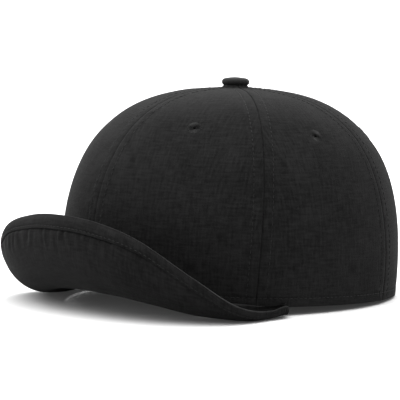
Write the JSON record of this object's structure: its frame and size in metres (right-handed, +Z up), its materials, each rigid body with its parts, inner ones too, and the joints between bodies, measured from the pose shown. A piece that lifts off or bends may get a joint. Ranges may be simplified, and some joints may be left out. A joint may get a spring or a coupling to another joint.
{
  "type": "short-brim baseball cap",
  "caption": "Soft panelled cotton cap with embroidered air holes, a cloth button and a short flexible brim turned up all round.",
  "frame": {"origin": "on the surface that the cap rests on, under the middle of the cap's bounding box", "axes": "+Y towards the back of the cap, +X towards the wearer's left, +Z up"},
  "size_m": [0.1924, 0.2252, 0.1249],
  "materials": {
    "cotton_twill": "matt near-black cotton twill",
    "eyelet_thread": "black satin embroidery thread",
    "sweatband_tape": "smooth black cotton tape"
  },
  "bodies": {
    "root": {"front_left_panel": "cotton_twill", "front_right_panel": "cotton_twill", "side_left_panel": "cotton_twill", "side_right_panel": "cotton_twill", "back_left_panel": "cotton_twill", "back_right_panel": "cotton_twill", "top_button": "cotton_twill", "brim_upper_cloth": "cotton_twill", "brim_under_cloth": "cotton_twill", "brim_edge_band": "cotton_twill", "front_left_eyelet": "eyelet_thread", "front_right_eyelet": "eyelet_thread", "side_left_eyelet": "eyelet_thread", "side_right_eyelet": "eyelet_thread", "back_left_eyelet": "eyelet_thread", "back_right_eyelet": "eyelet_thread", "sweatband": "sweatband_tape"}
  },
  "joints": []
}
